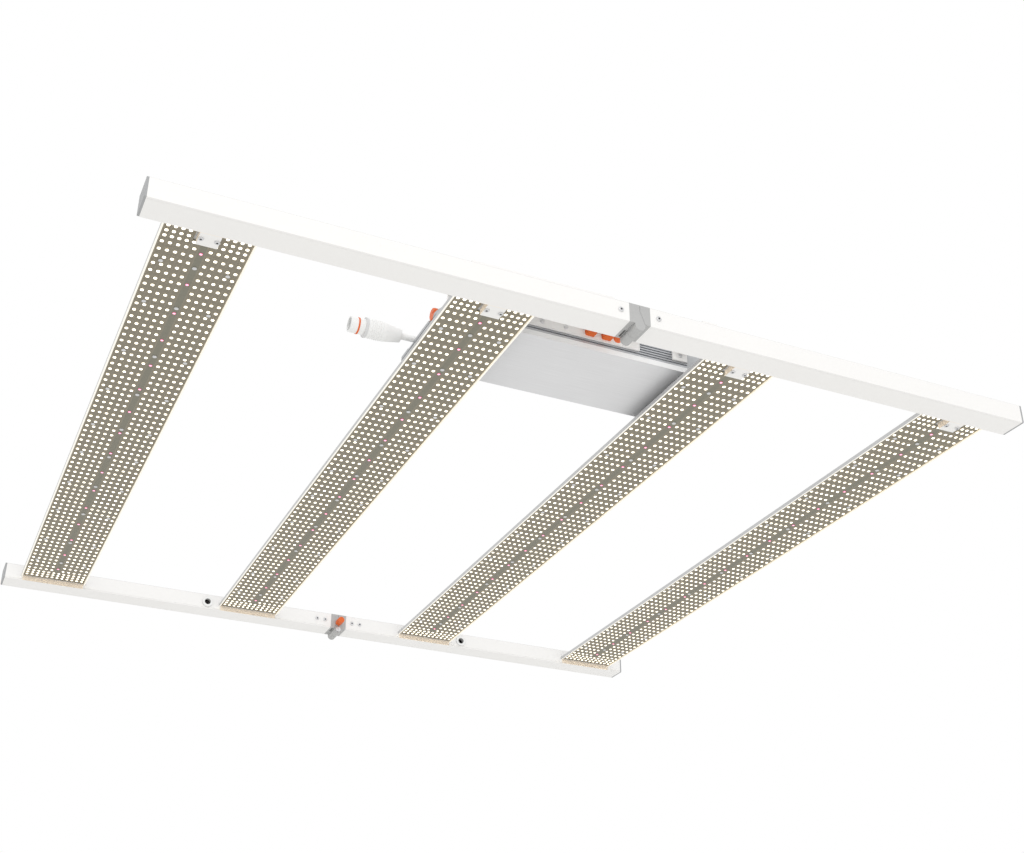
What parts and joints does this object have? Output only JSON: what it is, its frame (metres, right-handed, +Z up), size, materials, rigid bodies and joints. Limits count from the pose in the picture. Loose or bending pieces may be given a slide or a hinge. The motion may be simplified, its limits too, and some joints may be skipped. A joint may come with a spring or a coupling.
{
  "type": "led grow light",
  "caption": "Folding LED grow light: LED bars between two hinged rails, slim driver on top, short input lead with a round sealed plug.",
  "frame": {"origin": "centre of the four hanger holes, level with the rails' top faces", "axes": "+X along the rails, +Y from the driver's rail to the other rail, +Z up; the LEDs shine down"},
  "size_m": [1.1, 1.0952, 0.0752],
  "materials": {
    "white_paint": "powder coated, satin",
    "end_cap_grey": "moulded, matte",
    "cast_zinc": "cast zinc, fine grain",
    "steel": "zinc plated",
    "orange_plastic": "moulded, satin",
    "orange_rubber": "moulded, matte",
    "heatsink_aluminium": "extruded, clear anodised",
    "board_mask": "solder mask, satin",
    "red_led": "clear resin over a red die",
    "white_plastic": "moulded, satin",
    "brushed_base": "brushed along its length",
    "driver_aluminium": "extruded, anodised",
    "driver_cast": "cast, bead blasted",
    "circuit_board": "solder mask",
    "iron_core": "varnished",
    "capacitor_sleeve": "shrink sleeve",
    "grey_plastic": "moulded, matte",
    "lead_sheath": "smooth sheath"
  },
  "bodies": {
    "left_half": {"rail_near_left": "white_paint", "rail_far_left": "white_paint", "rail_cover_near_left": "white_paint", "rail_cover_far_left": "white_paint", "end_caps_left": "end_cap_grey", "hinge_leaf_near_left": "cast_zinc", "hinge_leaf_far_left": "cast_zinc", "hinge_pin_near": "steel", "hinge_pin_far": "steel", "heatsink_1": "heatsink_aluminium", "heatsink_2": "heatsink_aluminium", "led_board_1": "board_mask", "led_board_2": "board_mask", "red_leds_left": "red_led", "board_screws_left": "steel", "bar_brackets_left": "white_paint", "frame_screws_left": "steel", "cable_bushings_left": "white_plastic", "driver_base": "brushed_base", "driver_housing": "driver_aluminium", "driver_end_left": "driver_cast", "driver_end_right": "driver_cast", "driver_board": "circuit_board", "transformer": "iron_core", "capacitors": "capacitor_sleeve", "control_sockets": "grey_plastic", "port_caps": "orange_rubber", "driver_brackets": "white_paint", "bracket_screws": "steel", "input_gland": "grey_plastic", "input_lead": "lead_sheath", "connector_body": "white_plastic", "connector_collar": "grey_plastic", "connector_nose": "white_plastic", "connector_seal": "orange_rubber", "connector_insert": "grey_plastic"},
    "right_half": {"rail_near_right": "white_paint", "rail_far_right": "white_paint", "rail_cover_near_right": "white_paint", "rail_cover_far_right": "white_paint", "end_caps_right": "end_cap_grey", "hinge_leaf_near_right": "cast_zinc", "hinge_leaf_far_right": "cast_zinc", "heatsink_3": "heatsink_aluminium", "heatsink_4": "heatsink_aluminium", "led_board_3": "board_mask", "led_board_4": "board_mask", "red_leds_right": "red_led", "board_screws_right": "steel", "bar_brackets_right": "white_paint", "frame_screws_right": "steel", "cable_bushings_right": "white_plastic", "latch_spring_near": "steel", "latch_spring_far": "steel"},
    "near_latch": {"latch_pin_near": "steel", "latch_knob_near": "orange_plastic"},
    "far_latch": {"latch_pin_far": "steel", "latch_knob_far": "orange_plastic"},
    "dimmer": {"dimmer_knob": "orange_plastic"}
  },
  "joints": [
    {"name": "fold", "type": "hinge", "parent": "left_half", "child": "right_half", "pos_m": [0, 0, -0.0265], "axis": [0, 1, 0], "range_deg": [0, 180]},
    {"name": "near_latch_pull", "type": "slide", "parent": "right_half", "child": "near_latch", "axis": [0, 1, 0], "range_m": [0, 0.004], "stiffness_N_per_m": 800, "springref_m": -0.003, "deforming": ["latch_spring_near"]},
    {"name": "far_latch_pull", "type": "slide", "parent": "right_half", "child": "far_latch", "axis": [0, -1, 0], "range_m": [0, 0.004], "stiffness_N_per_m": 800, "springref_m": -0.003, "deforming": ["latch_spring_far"]},
    {"name": "dimmer_turn", "type": "hinge", "parent": "left_half", "child": "dimmer", "pos_m": [-0.1862, -0.42, 0.0085], "axis": [-1, 0, 0], "range_deg": [0, 270]}
  ]
}
